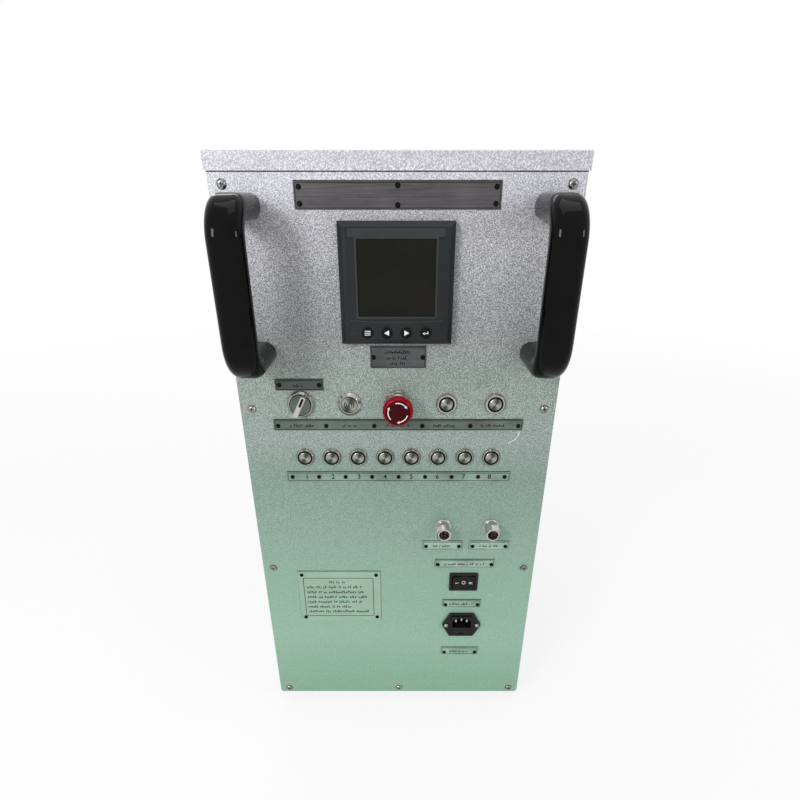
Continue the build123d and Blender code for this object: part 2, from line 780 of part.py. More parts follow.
def mains_fuse():
    """Glass fuse lying across the drawer, with a wider cap at each end."""
    lift = drawer_wall - drawer_h / 2 + fuse_r
    tube = Rot(0, 90, 0) * Cylinder(fuse_r - 0.3, drawer_w - 5)
    for side in (-1, 1):
        tube += Pos(side * (drawer_w / 2 - 4.5), 0, 0) * Rot(0, 90, 0) * Cylinder(fuse_r, 4)
    return on_front(inlet_x, inlet_z - drawer_down + lift, -4) * tube


# fans
def in_duct(z, x=0.0):
    """A fan's own place: local Z runs into the cabinet along +X from the fan plate's outer face."""
    face = Plane(origin=(fan_x + x, duct_y, duct_z + z), x_dir=(0, 1, 0), z_dir=(1, 0, 0))
    return Location(face)


def fan_frame():
    """Square plate with a rolled inlet ring, four spacer bosses and a motor on a cross of struts."""
    plate = block(fan_plate, fan_plate, sheet) - disc(fan_bore_r, sheet)
    ring = disc(fan_bore_r + sheet, fan_duct, sheet) - disc(fan_bore_r, fan_duct, sheet)
    frame = plate + ring
    strut = block(2 * fan_bore_r + sheet, 12, 4, fan_duct - 4 + sheet)
    frame += strut + Rot(0, 0, 90) * strut
    for y, w in corners(fan_plate, fan_plate, 9.0):
        frame += Pos(y, w, 0) * disc(5, fan_gap, -fan_gap)
        frame -= Pos(y, w, 0) * disc(screw_hole_r, fan_gap + sheet, -fan_gap)
    motor_low = fan_duct - 10
    motor = disc(38, 46, motor_low)
    motor = fillet(motor.edges().filter_by(GeomType.CIRCLE).sort_by(Axis.Z)[-1], 4)
    frame = frame + motor
    frame += disc(fan_shaft_r, motor_low - 10, 10)
    return frame


def fan_rotor():
    """Cup hub with swept blades whose pitch falls from root to tip, bored for the motor shaft."""
    low = fan_duct - 12 - fan_hub_w
    hub = disc(fan_hub_r, fan_hub_w, low)
    hub = fillet(hub.edges().filter_by(GeomType.CIRCLE).sort_by(Axis.Z)[0], 5)
    middle = low + fan_hub_w / 2
    stations = [(fan_hub_r - 6, 0, 38, 19, 1.7),
                (fan_tip_r * 0.65, 10, 29, 26, 1.5),
                (fan_tip_r + 6, 20, 20, 33, 1.2)]
    sections = []
    for reach, sweep_back, pitch, half_chord, half_thick in stations:
        chord = (0, cos(radians(pitch)), sin(radians(pitch)))
        station = Plane(origin=(reach, sweep_back, middle), x_dir=chord, z_dir=(1, 0, 0))
        sections.append(station * RectangleRounded(2 * half_chord, 2 * half_thick, half_thick * 0.8))
    blade = loft(sections) & disc(fan_tip_r, 2 * fan_duct, -fan_duct)
    for i in range(fan_blades):
        hub += Rot(0, 0, i * 360 / fan_blades) * blade
    return hub - disc(fan_shaft_r + shaft_gap, 200, -100)


def fan_guard():
    """Concentric wires on four spokes; the spoke ends are held behind the side panel."""
    wire_z = -fan_gap - skin - 0.2
    step = (fan_bore_r - 2 - guard_disc_r) / guard_rings
    guard = disc(guard_disc_r, 1.6, -fan_gap - 0.4)
    for i in range(1, guard_rings + 1):
        guard += Pos(0, 0, wire_z + guard_wire) * Torus(guard_disc_r + i * step - guard_wire, guard_wire)
    spoke = block(2 * fan_bore_r + 14, 3, 3.0, -fan_gap)
    return guard + spoke + Rot(0, 0, 90) * spoke


# resistor bank
rack_x = inner_x - rack_gap - rack_width / 2
rack_front = bulkhead_y + sheet + 8
rack_rear = inner_rear - rack_setback


def element_places():
    for row in range(element_rows):
        for column in range(element_columns):
            stagger = element_pitch_z / 4 * (column % 2)
            yield (rack_x + (column - (element_columns - 1) / 2) * element_pitch_x,
                   duct_z + (row - (element_rows - 1) / 2) * element_pitch_z + stagger)


def resistor_elements():
    reach = rack_rear - rack_front + 2 * 5
    for x, z in element_places():
        yield Pos(x, (rack_front + rack_rear) / 2, z) * Rot(90, 0, 0) * Cylinder(element_r, reach)


def resistor_frame():
    """Two drilled end plates that stand on the tray and hold the element ends."""
    for y in (rack_front, rack_rear - rack_wall):
        plate = spread((rack_x - rack_width / 2, y, floor_z + sheet),
                       (rack_x + rack_width / 2, y + rack_wall, top_z - skin - 14))
        for x, z in element_places():
            plate -= Pos(x, y, z) * Rot(-90, 0, 0) * disc(element_r + 0.2, rack_wall)
        yield plate


# control gear and terminals
def control_gear():
    """Mounting rail on the bulkhead with four contactors, and a control module below it."""
    rail_z = 250.0
    back = bulkhead_y
    rail = spread((-130, back - 7.5, floor_z + rail_z), (130, back, floor_z + rail_z + 35))
    yield rail
    for i in range(4):
        x = (i - 1.5) * 62.0
        foot = spread((x - 27, back - 7.5 - 44, floor_z + rail_z - 20),
                      (x + 27, back - 7.5, floor_z + rail_z + 58))
        cap = spread((x - 20, back - 7.5 - 62, floor_z + rail_z + 2),
                     (x + 20, back - 7.5 - 44, floor_z + rail_z + 38))
        yield foot + cap
    yield spread((-90, back - 38, floor_z + 90), (90, back, floor_z + 190))


def terminal_board():
    board = block(terminal_board_w, terminal_board_h, terminal_board_t)
    board = fillet(board.edges().filter_by(Axis.Z), 4)
    board = chamfer(board.faces().sort_by(Axis.Z)[-1].edges(), 1)
    for x in stud_places():
        board -= Pos(x, 0, 0) * disc(stud_root_r + clearance, terminal_board_t)
    for x, z in corners(terminal_board_w, terminal_board_h, 8.0):
        board -= Pos(x, z, 0) * disc(screw_hole_r, terminal_board_t)
    return on_rear(0, terminal_z) * board


def terminal_stud():
    hexagon = extrude(RegularPolygon(stud_hex / 2, 6, major_radius=False), stud_hex_h)
    stud = Pos(0, 0, terminal_board_t) * hexagon
    stud += disc(stud_root_r, terminal_board_t + sheet + 16, -sheet - 16)
    stud += disc(stud_r, stud_free, terminal_board_t + stud_hex_h)
    tip = stud.edges().filter_by(GeomType.CIRCLE).sort_by(Axis.Z)[-1]
    return chamfer(tip, 0.6)


# feet
def rubber_foot():
    """Tapered rubber foot with a bolt recess in its sole."""
    return turned((foot_bolt_r + clearance, foot_seat), (foot_recess_r, foot_seat), (foot_recess_r, 0),
                  (foot_r - 1.5, 0), (foot_r, 1.5), (foot_top_r, floor_z), (foot_bolt_r + clearance, floor_z))


# the nodes
save("base_tray", base_tray())
save("inner_frame", *inner_frame())
save("front_panel", front_panel())
save("rear_panel", rear_panel())
save("left_side_panel", left_side_panel())
save("right_side_panel", right_side_panel())
save("top_cover", top_cover())
save("panel_screws", *panel_screws())
save("plate_rivets", *[rivet(x, z) for x, z in rivets()])
save("left_handle", on_front(-handle_x, handle_z) * handle())
save("right_handle", on_front(handle_x, handle_z) * handle())
save("rear_handles", *[on_rear(side * handle_x, handle_z) * handle() for side in (-1, 1)])
save("header_plate", label_plate(header_label))
save("control_strip", label_plate(upper_strip))
save("load_strip", label_plate(lower_strip))
save("notice_plate", label_plate(notice_label))
save("label_plates", *[label_plate(label) for label in small_labels])

save("meter_case", meter_housing())
save("meter_screen", meter_screen())
for key_name, place in zip(("menu_key", "left_key", "right_key", "enter_key"), key_places()):
    save(key_name, meter_key(place))

save("selector_collar", selector_collar())
save("selector_knob", selector_knob())
save("fault_buzzer", fault_buzzer())
save("stop_collar", stop_collar())
save("stop_stem", stop_stem())
save("stop_head", stop_head())

save("button_bodies", *[on_front(x, z) * button_body(flange_r) for x, z, flange_r in button_places])
for number, x in enumerate(load_x, 1):
    save(f"load_button_{number}", on_front(x, load_z) * button_cap())
save("supply_button", on_front(supply_x, row_z) * button_cap())
save("confirm_button", on_front(confirm_x, row_z) * button_cap())

save("port_shells", *[on_front(x, z) * port_shell() for x, z in port_places])
save("port_inserts", *[on_front(x, z) * port_insert() for x, z in port_places])
save("rocker_frame", rocker_frame())
save("power_rocker", power_rocker())
save("inlet_socket", inlet_socket())
save("inlet_pins", *inlet_pins())
save("fuse_drawer", fuse_drawer())
save("mains_fuse", mains_fuse())

save("fan_frames", *[in_duct(z) * fan_frame() for z in (fan_spread, -fan_spread)])
save("upper_fan", in_duct(fan_spread) * fan_rotor())
save("lower_fan", in_duct(-fan_spread) * fan_rotor())
save("fan_guards", *[in_duct(z) * fan_guard() for z in (fan_spread, -fan_spread)])
save("resistor_elements", *resistor_elements())
save("resistor_frame", *resistor_frame())
save("control_gear", *control_gear())
save("terminal_board", terminal_board())
save("terminal_studs", *[on_rear(x, terminal_z) * terminal_stud() for x in stud_places()])

save("rubber_feet", *[Pos(x, y, 0) * rubber_foot() for x, y in foot_places])
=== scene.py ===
import json
import random
from math import cos, pi, radians, sin, tau

import bmesh
import bpy
from mathutils import Matrix, Vector


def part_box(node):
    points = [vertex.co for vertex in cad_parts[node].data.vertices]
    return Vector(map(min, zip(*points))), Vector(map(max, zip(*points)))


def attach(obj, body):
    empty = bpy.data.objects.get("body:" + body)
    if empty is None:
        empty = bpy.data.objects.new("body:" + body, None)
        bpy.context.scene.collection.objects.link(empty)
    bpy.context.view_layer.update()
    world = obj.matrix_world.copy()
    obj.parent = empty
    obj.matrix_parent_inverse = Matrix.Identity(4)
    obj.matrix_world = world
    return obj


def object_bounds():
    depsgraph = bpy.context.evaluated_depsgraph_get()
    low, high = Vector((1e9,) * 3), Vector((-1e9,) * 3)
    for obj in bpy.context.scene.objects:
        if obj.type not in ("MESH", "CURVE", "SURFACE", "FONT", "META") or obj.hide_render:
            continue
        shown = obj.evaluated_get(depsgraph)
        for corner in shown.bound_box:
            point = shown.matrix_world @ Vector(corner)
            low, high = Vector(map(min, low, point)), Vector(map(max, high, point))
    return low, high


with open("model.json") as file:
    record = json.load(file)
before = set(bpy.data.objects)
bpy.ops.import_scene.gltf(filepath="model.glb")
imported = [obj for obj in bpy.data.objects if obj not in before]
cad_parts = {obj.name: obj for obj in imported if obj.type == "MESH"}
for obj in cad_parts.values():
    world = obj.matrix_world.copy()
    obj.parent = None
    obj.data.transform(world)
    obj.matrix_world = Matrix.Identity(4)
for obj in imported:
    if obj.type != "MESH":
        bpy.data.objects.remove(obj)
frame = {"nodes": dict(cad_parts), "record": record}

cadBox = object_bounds()
mm = 0.001
panelLow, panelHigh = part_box("front_panel")
frontY = panelLow[1]
baseZ = panelLow[2]
fullHeight = cadBox[1][2] - baseZ
print("frame loaded:", len(frame["nodes"]), "nodes")


# shader building
class Reading:  # a number that a node gives; arithmetic on it adds Math nodes
    def __init__(self, finish, socket):
        self.finish = finish
        self.socket = socket

    def work(self, operation, first, second):
        return self.finish.maths(operation, first, second)

    def __add__(self, other):
        return self.work("ADD", self, other)

    def __radd__(self, other):
        return self.work("ADD", other, self)

    def __sub__(self, other):
        return self.work("SUBTRACT", self, other)

    def __mul__(self, other):
        return self.work("MULTIPLY", self, other)

    def __rmul__(self, other):
        return self.work("MULTIPLY", other, self)

    def __truediv__(self, other):
        return self.work("DIVIDE", self, other)

    def __gt__(self, other):
        return self.work("GREATER_THAN", self, other)


class Finish:  # one material, with its nodes added through one method
    def __init__(self, name, constants):
        self.material = bpy.data.materials.new(name)
        self.material.use_nodes = True
        self.tree = self.material.node_tree
        self.shader = self.tree.nodes["Principled BSDF"]
        for socket, value in constants.items():
            self.feed(self.shader.inputs[socket], value)

    def feed(self, socket, value):
        if isinstance(value, Reading):
            self.tree.links.new(value.socket, socket)
        else:
            socket.default_value = value

    def add(self, kind, settings=None, sockets=None, output=0):
        node = self.tree.nodes.new(kind)
        for name, value in (settings or {}).items():
            if name == "stops":
                setStops(node.color_ramp, value)
            else:
                setattr(node, name, value)
        for name, value in (sockets or {}).items():
            self.feed(node.inputs[name], value)
        return Reading(self, node.outputs[output])

    def place(self, output="Object"):
        node = self.tree.nodes.new("ShaderNodeTexCoord")
        return Reading(self, node.outputs[output])

    def stretch(self, spot, scale):
        return self.add("ShaderNodeMapping", None, {"Vector": spot, "Scale": scale})

    def noise(self, spot, scale, detail=3.0, roughness=0.55):
        sockets = {"Vector": spot, "Scale": scale, "Detail": detail, "Roughness": roughness}
        return self.add("ShaderNodeTexNoise", None, sockets)

    def ramp(self, reading, *stops):
        return self.add("ShaderNodeValToRGB", {"stops": stops}, {0: reading})

    def mixColour(self, mask, low, high, how="MIX"):
        # sockets 6 and 7 and output 2 are the node's colours
        settings = {"data_type": "RGBA", "blend_type": how}
        return self.add("ShaderNodeMix", settings, {0: mask, 6: low, 7: high}, 2)

    def bump(self, height, strength, distance):
        sockets = {"Height": height, "Strength": strength, "Distance": distance}
        self.feed(self.shader.inputs["Normal"], self.add("ShaderNodeBump", None, sockets))

    def show(self, socket, value):
        self.feed(self.shader.inputs[socket], value)

    def maths(self, operation, *values):
        return self.add("ShaderNodeMath", {"operation": operation}, dict(enumerate(values)))

    def vectors(self, operation, *values, output=0):
        return self.add("ShaderNodeVectorMath", {"operation": operation}, dict(enumerate(values)), output)

    def along(self, spot, axis):
        return self.add("ShaderNodeSeparateXYZ", None, {0: spot}, axis)

    def aroundMiddle(self):
        # distance from the middle of each piece, and the angle about it, seen from the front
        across = self.vectors("MULTIPLY", self.place("Generated"), (1, 0, 1))
        middle = (0.5, 0.0, 0.5)
        offset = self.vectors("SUBTRACT", across, middle)
        angle = self.maths("ARCTAN2", self.along(offset, 2), self.along(offset, 0))
        return self.vectors("DISTANCE", across, middle, output=1), angle

    def seenRays(self):
        # 1 for a ray from the camera, off a shiny surface or through a clear one
        ways = ("Is Camera Ray", "Is Glossy Ray", "Is Transmission Ray")
        camera, glossy, through = (self.add("ShaderNodeLightPath", None, None, way) for way in ways)
        return self.maths("MAXIMUM", self.maths("MAXIMUM", camera, glossy), through)


def setStops(ramp, stops):
    while len(ramp.elements) < len(stops):
        ramp.elements.new(1.0)
    for element, (position, colour) in zip(ramp.elements, stops):
        element.position = position
        element.color = colour


def grey(value):
    return (value, value, value, 1.0)


def linear(level):
    return ((level / 255 + 0.055) / 1.055) ** 2.4 if level > 10 else level / 255 / 12.92


def rgb(red, green, blue):
    # a colour written as it shows on screen, 0 to 255
    return (linear(red), linear(green), linear(blue), 1.0)


def byHeight(stops):
    # stops given at heights in millimetres above the base
    return [(z / (fullHeight / mm), colour) for z, colour in stops]


def plainFinish(name, look):
    # mottled colour, patchy roughness and a fine grain; stretch turns the grain into brushing
    finish = Finish(name, {"Metallic": look.get("metallic", 0.0), "Specular IOR Level": look.get("specular", 0.5)})
    spot = finish.place()
    grained = finish.stretch(spot, look["stretch"]) if "stretch" in look else spot
    patches = finish.noise(spot, look.get("patches", 30.0))
    grain = finish.noise(grained, look["grain"], 2.0, 0.6)
    brushed = look.get("brushed", 0.25)
    mask = patches * (1.0 - brushed) + grain * brushed
    toneAndLightByHeight = finish.ramp(mask, (0.32, look["colour"]), (0.68, look["shade"]))
    finish.show("Base Color", toneAndLightByHeight)
    low, high = look["rough"]
    finish.show("Roughness", low + (high - low) * finish.noise(spot, look.get("smears", 60.0)))
    finish.bump(grain, look.get("strength", 0.2), look["depth"] * mm)
    return finish.material


cabinetLook = {
    # height above the base in millimetres, and the colour there; this is painted light and shade by height, brighter
    # near the top, handle shadows averaged in, with a painted green reflection of the floor towards the bottom
    "paintedLight": [
        (10, (133, 169, 147)),
        (40, (135, 171, 150)),
        (100, (143, 177, 158)),
        (200, (137, 169, 151)),
        (270, (132, 157, 144)),
        (330, (125, 147, 136)),
        (373, (140, 153, 149)),
        (437, (138, 149, 142)),
        (484, (140, 144, 144)),
        (519, (151, 153, 155)),
        (562, (168, 168, 172)),
        (590, (167, 167, 171)),
        (617, (191, 191, 199)),
        (633, (185, 184, 191)),
    ],
    "grainScale": 960.0, "texture": 0.00022, "metallic": 0.3,
    # height, and how strongly the grain shows there
    "liveliness": [(100, 0.24), (200, 0.26), (330, 0.52), (437, 0.82),
                   (484, 1.0), (545, 1.0), (590, 0.86), (633, 0.52)],
    # grain value, and how far it darkens or lightens the paint
    "pits": [(0.34, 0.40), (0.50, 0.95), (0.66, 1.8)],
    "wanderScale": 3.0, "wander": 0.05, "roughness": 0.48, "roughSpread": 0.2, "strength": 0.5,
}


def cabinetPaint(look):
    # sand-textured metallic silver: dark pits and pale flakes over painted light and shade by height, with a painted
    # green reflection of the floor towards the bottom
    finish = Finish("cabinetPaint", {"Metallic": look["metallic"], "Specular IOR Level": 0.5})
    spot = finish.place()
    wander = (finish.noise(spot, look["wanderScale"]) - 0.5) * look["wander"]
    rise = (finish.along(spot, 2) - baseZ) / fullHeight + wander
    # painted light and shade by height, including the painted green floor reflection low down
    paintedLight = finish.ramp(rise, *byHeight([(z, rgb(*colour)) for z, colour in look["paintedLight"]]))
    grain = finish.noise(spot, look["grainScale"], 1.5, 0.6)
    pits = finish.ramp(grain, *[(value, grey(amount)) for value, amount in look["pits"]])
    speckled = finish.mixColour(1.0, paintedLight, pits, "MULTIPLY")
    lively = finish.ramp(rise, *byHeight([(z, grey(amount)) for z, amount in look["liveliness"]]))
    finish.show("Base Color", finish.mixColour(lively, paintedLight, speckled))
    finish.show("Roughness", look["roughness"] + look["roughSpread"] * (grain - 0.5))
    finish.bump(grain, look["strength"], look["texture"])
    return finish.material


# colour and shade are the light and dark of the painted reflection fans
spunLook = {"colour": rgb(158, 162, 154), "shade": rgb(62, 66, 60), "rings": 30.0, "fanTurn": 0.9}


def spunMetal(name, look):
    # fine turning rings about the middle of each piece, with the soft fans of light that such rings give painted into
    # the colour as a painted reflection
    finish = Finish(name, {"Metallic": 0.9})
    radius, angle = finish.aroundMiddle()
    rings = finish.maths("SINE", radius * look["rings"] * tau)
    # painted reflection: light and dark fans painted into the base colour
    paintedFans = finish.maths("COSINE", angle * 2.0 + look["fanTurn"]) * 0.5 + 0.5
    finish.show("Base Color", finish.mixColour(paintedFans, look["shade"], look["colour"]))
    finish.show("Roughness", 0.30 + 0.06 * rings)
    finish.bump(rings, 0.25, 0.04 * mm)
    return finish.material


stopLook = {"rim": rgb(160, 3, 22), "face": rgb(56, 1, 6), "ribShade": rgb(96, 1, 12),
            "faceReach": 0.41, "ribs": 54.0, "ribLevel": 0.35}


def stopPaint(look):
    # bright red rim with fine ribs, the dark stripes between them painted shade, and a darker face
    finish = Finish("stopPaint", {"Metallic": 0.3, "Specular IOR Level": 0.1,
                                  "Coat Weight": 0.04, "Coat Roughness": 0.08})
    radius, angle = finish.aroundMiddle()
    grain = finish.noise(finish.place(), 1500.0)
    ribs = finish.maths("SINE", angle * look["ribs"]) > look["ribLevel"]
    # the dark stripes between the ribs are painted shade
    rim = finish.mixColour(ribs, look["rim"], look["ribShade"])
    finish.show("Base Color", finish.mixColour(radius > look["faceReach"], look["face"], rim))
    finish.show("Roughness", 0.26 + 0.14 * grain)
    finish.bump(grain, 0.12, 0.03 * mm)
    return finish.material


alongX = (0.02, 1.0, 1.0)  # stretches a grain into brushing along x
plateMetalLook = {
    # height above the base in millimetres, and the colour there; partly the metal's own tone, partly painted light
    # and shade with a painted green reflection of the floor towards the bottom
    "toneAndLightByHeight": [
        (76, (140, 168, 150)),
        (155, (142, 170, 153)),
        (216, (150, 178, 162)),
        (243, (156, 184, 167)),
        (333, (130, 149, 138)),
        (394, (94, 103, 97)),
        (437, (77, 83, 82)),
        (465, (80, 83, 83)),
    ],
    "metallic": 0.7, "brushing": 1500.0, "patches": 34.0,
    # wear value, and how far it darkens or lightens the metal
    "wear": [(0.36, 0.72), (0.64, 1.3)],
}


def plateMetal(look):
    # brushed aluminium; its colour by height is partly its own tone and partly painted light and shade, with a
    # painted green floor reflection towards the bottom
    finish = Finish("plateMetal", {"Metallic": look["metallic"]})
    spot = finish.place()
    height = (finish.along(spot, 2) - baseZ) / fullHeight
    toneAndLight = finish.ramp(height, *byHeight([(z, rgb(*colour)) for z, colour in look["toneAndLightByHeight"]]))
    brushing = finish.noise(finish.stretch(spot, alongX), look["brushing"], 2.0, 0.6)
    patches = finish.noise(spot, look["patches"])
    wear = patches * 0.6 + brushing * 0.4
    worn = finish.ramp(wear, *[(value, grey(amount)) for value, amount in look["wear"]])
    finish.show("Base Color", finish.mixColour(1.0, toneAndLight, worn, "MULTIPLY"))
    finish.show("Roughness", 0.3 + 0.18 * patches)
    finish.bump(brushing, 0.2, 0.03 * mm)
    return finish.material


finishLooks = {
    "zinc_sheet": {"colour": grey(0.55), "shade": rgb(172, 176, 182), "metallic": 0.9, "rough": (0.32, 0.5),
                   "grain": 240.0, "depth": 0.03, "patches": 70.0},
    "handle_black": {"colour": grey(0.0015), "shade": grey(0.003), "rough": (0.04, 0.1), "grain": 260.0,
                     "depth": 0.01, "strength": 0.06, "smears": 22.0, "specular": 0.09},
    "foot_rubber": {"colour": grey(0.018), "shade": grey(0.035), "rough": (0.7, 0.9), "grain": 900.0, "depth": 0.08},
    "screw_steel": {"colour": grey(0.34), "shade": grey(0.2), "metallic": 1.0, "rough": (0.2, 0.36),
                    "grain": 800.0, "depth": 0.02},
    "rivet_black": {"colour": grey(0.002), "shade": grey(0.005), "rough": (0.14, 0.22), "specular": 0.08,
                    "grain": 900.0, "depth": 0.02},
    "header_metal": {"colour": rgb(62, 60, 62), "shade": rgb(92, 90, 92), "metallic": 0.7, "rough": (0.34, 0.5),
                     "grain": 1500.0, "depth": 0.03, "stretch": alongX, "brushed": 0.7},
    "notice_metal": {"colour": rgb(138, 168, 148), "shade": rgb(158, 186, 168), "metallic": 0.4, "rough": (0.34, 0.5),
                     "grain": 1100.0, "depth": 0.02, "stretch": alongX, "brushed": 0.5},
    "meter_plastic": {"colour": rgb(24, 27, 29), "shade": rgb(31, 34, 36), "rough": (0.34, 0.46), "grain": 1700.0,
                      "depth": 0.04, "strength": 0.2, "specular": 0.22},
    "key_plastic": {"colour": grey(0.002), "shade": grey(0.004), "rough": (0.3, 0.4), "grain": 1500.0,
                    "depth": 0.02, "specular": 0.14},
    "screen_panel": {"colour": rgb(11, 17, 9), "shade": rgb(27, 24, 18), "rough": (0.1, 0.2), "grain": 300.0,
                     "depth": 0.006, "strength": 0.05, "patches": 18.0, "specular": 0.12},
    "collar_metal": {"colour": rgb(196, 194, 188), "shade": rgb(150, 148, 142), "metallic": 0.95,
                     "rough": (0.16, 0.30), "grain": 500.0, "depth": 0.015},
    "knob_metal": {"colour": rgb(204, 203, 198), "shade": rgb(166, 165, 160), "metallic": 0.9, "rough": (0.22, 0.36),
                   "grain": 900.0, "depth": 0.02},
    "stem_plastic": {"colour": grey(0.012), "shade": grey(0.02), "rough": (0.3, 0.42), "grain": 900.0,
                     "depth": 0.02, "specular": 0.3},
    # black for dark rings and gaps, and also for the painted shadows round plates, under the lid and round screws
    "black_and_painted_shade": {"colour": grey(0.0015), "shade": grey(0.003), "rough": (0.45, 0.6), "grain": 900.0,
                  "depth": 0.01, "specular": 0.08},
    "pin_copper": {"colour": rgb(186, 122, 92), "shade": rgb(140, 84, 62), "metallic": 0.9, "rough": (0.24, 0.36),
                   "grain": 800.0, "depth": 0.01},
    "scuff_pale": {"colour": rgb(232, 238, 234), "shade": rgb(206, 216, 210), "metallic": 0.3, "rough": (0.5, 0.6),
                   "grain": 900.0, "depth": 0.01},
    "port_plate": {"colour": rgb(206, 205, 200), "shade": rgb(168, 166, 160), "metallic": 0.95, "rough": (0.14, 0.28),
                   "grain": 700.0, "depth": 0.015},
    "insert_plastic": {"colour": grey(0.01), "shade": grey(0.02), "rough": (0.4, 0.5), "grain": 900.0, "depth": 0.02},
    "pin_brass": {"colour": rgb(206, 202, 192), "shade": rgb(168, 162, 148), "metallic": 1.0, "rough": (0.2, 0.32),
                  "grain": 700.0, "depth": 0.01},
    "switch_black": {"colour": grey(0.004), "shade": grey(0.008), "rough": (0.28, 0.42), "grain": 1600.0,
                     "depth": 0.04, "specular": 0.24},
    "rocker_black": {"colour": grey(0.003), "shade": grey(0.006), "rough": (0.12, 0.2), "grain": 800.0,
                     "depth": 0.012, "specular": 0.2},
    "fuse_body": {"colour": grey(0.7), "shade": grey(0.8), "rough": (0.08, 0.16), "grain": 600.0, "depth": 0.01},
    "rotor_black": {"colour": grey(0.02), "shade": grey(0.035), "rough": (0.34, 0.48), "grain": 700.0, "depth": 0.04},
    "guard_wire": {"colour": grey(0.62), "shade": grey(0.45), "metallic": 1.0, "rough": (0.2, 0.34),
                   "grain": 700.0, "depth": 0.015},
    "element_steel": {"colour": rgb(132, 118, 108), "shade": rgb(96, 88, 96), "metallic": 0.85, "rough": (0.34, 0.5),
                      "grain": 500.0, "depth": 0.03, "patches": 16.0},
    "gear_plastic": {"colour": grey(0.07), "shade": grey(0.10), "rough": (0.45, 0.6), "grain": 900.0, "depth": 0.03},
    "board_plastic": {"colour": rgb(38, 34, 31), "shade": rgb(52, 46, 42), "rough": (0.35, 0.5), "grain": 500.0,
                      "depth": 0.05, "patches": 90.0},
    "stud_brass": {"colour": rgb(214, 184, 110), "shade": rgb(182, 148, 78), "metallic": 1.0, "rough": (0.2, 0.34),
                   "grain": 700.0, "depth": 0.02},
    "mark_dark": {"colour": grey(0.002), "shade": grey(0.006), "rough": (0.4, 0.55), "grain": 900.0,
                  "depth": 0.01, "specular": 0.1},
    "mark_white": {"colour": grey(0.78), "shade": grey(0.66), "rough": (0.4, 0.55), "grain": 900.0, "depth": 0.01},
    "bezel_edge": {"colour": rgb(34, 37, 40), "shade": rgb(44, 47, 50), "rough": (0.26, 0.36), "grain": 1500.0,
                   "depth": 0.02, "specular": 0.35},
    "knob_face": {"colour": rgb(84, 92, 87), "shade": rgb(134, 140, 134), "metallic": 0.9, "rough": (0.2, 0.32),
                  "grain": 700.0, "depth": 0.02},
}
finishes = {name: plainFinish(name, look) for name, look in finishLooks.items()}
finishes["cabinet_paint"] = cabinetPaint(cabinetLook)
finishes["strip_metal"] = plateMetal(plateMetalLook)
finishes["cap_metal"] = spunMetal("cap_metal", spunLook)
finishes["stop_red"] = stopPaint(stopLook)
print("finishes made:", len(finishes))


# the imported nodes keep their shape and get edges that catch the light
edgeWidths = {
    "meter_plastic": 0.5, "key_plastic": 0.25, "collar_metal": 0.15, "cap_metal": 0.12, "knob_metal": 0.3,
    "port_plate": 0.15, "switch_black": 0.25, "rocker_black": 0.3, "zinc_sheet": 0.3, "stud_brass": 0.25,
    "gear_plastic": 0.8, "board_plastic": 0.3, "screw_steel": 0.12,
}
flatSlots = ("cabinet_paint", "header_metal", "strip_metal", "notice_metal")
weldReach = 0.002
creaseAngle = radians(38)


def softenEdges(node, width):
    mesh = node.data
    mesh.polygons.foreach_set("use_smooth", [True] * len(mesh.polygons))
    weld = node.modifiers.new("weld", "WELD")
    weld.merge_threshold = weldReach * mm
    if width:
        bevel = node.modifiers.new("edge", "BEVEL")
        bevel.width = width * mm
        bevel.segments = 2
        bevel.limit_method = "ANGLE"
        bevel.angle_limit = creaseAngle
        even = node.modifiers.new("even", "WEIGHTED_NORMAL")
        even.weight = 100
    else:
        crease = node.modifiers.new("crease", "EDGE_SPLIT")
        crease.split_angle = creaseAngle


for part in frame["record"]["subparts"]:
    node = frame["nodes"][part["node"]]
    slotName = part["material_slot"]
    if not node.material_slots:
        node.data.materials.append(None)
    for holder in node.material_slots:
        holder.material = finishes[slotName]
    if slotName in flatSlots:
        node.data.polygons.foreach_set("use_smooth", [False] * len(node.data.polygons))
    else:
        softenEdges(node, edgeWidths.get(slotName, 0.0))
print("nodes dressed")


# mesh helpers; local x is right, y is up and z is out of the panel
def onPanel(x, z, out=0.0):
    turn = Matrix(((1, 0, 0), (0, 0, -1), (0, 1, 0))).to_4x4()
    return Matrix.Translation((x, frontY - out * mm, z)) @ turn @ Matrix.Diagonal((mm, mm, mm, 1))


def turned(angle):
    return Matrix.Rotation(radians(angle), 4, "Z")


def middleOf(node):
    low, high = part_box(node)
    return (low[0] + high[0]) / 2, (low[2] + high[2]) / 2


def slab(mesh, place, outline, low, high):
    bottom = [mesh.verts.new(place @ Vector((x, y, low))) for x, y in outline]
    top = [mesh.verts.new(place @ Vector((x, y, high))) for x, y in outline]
    count = len(outline)
    mesh.faces.new(reversed(bottom))
    mesh.faces.new(top)
    for i in range(count):
        mesh.faces.new((bottom[i], bottom[(i + 1) % count], top[(i + 1) % count], top[i]))


def lathe(mesh, place, profile, count=48):
    # profile is a closed loop of (radius, height)
    rings = []
    for i in range(count):
        c, s = cos(tau * i / count), sin(tau * i / count)
        rings.append([mesh.verts.new(place @ Vector((r * c, r * s, h))) for r, h in profile])
    for i in range(count):
        here, there = rings[i], rings[(i + 1) % count]
        for j in range(len(profile)):
            k = (j + 1) % len(profile)
            mesh.faces.new((here[j], there[j], there[k], here[k]))


def border(mesh, place, outer, inner, low, high):
    count = len(outer)
    loops = [[mesh.verts.new(place @ Vector((x, y, z))) for x, y in line]
             for line, z in ((outer, low), (outer, high), (inner, high), (inner, low))]
    for i in range(count):
        j = (i + 1) % count
        for a, b in zip(loops, loops[1:] + loops[:1]):
            mesh.faces.new((a[i], a[j], b[j], b[i]))


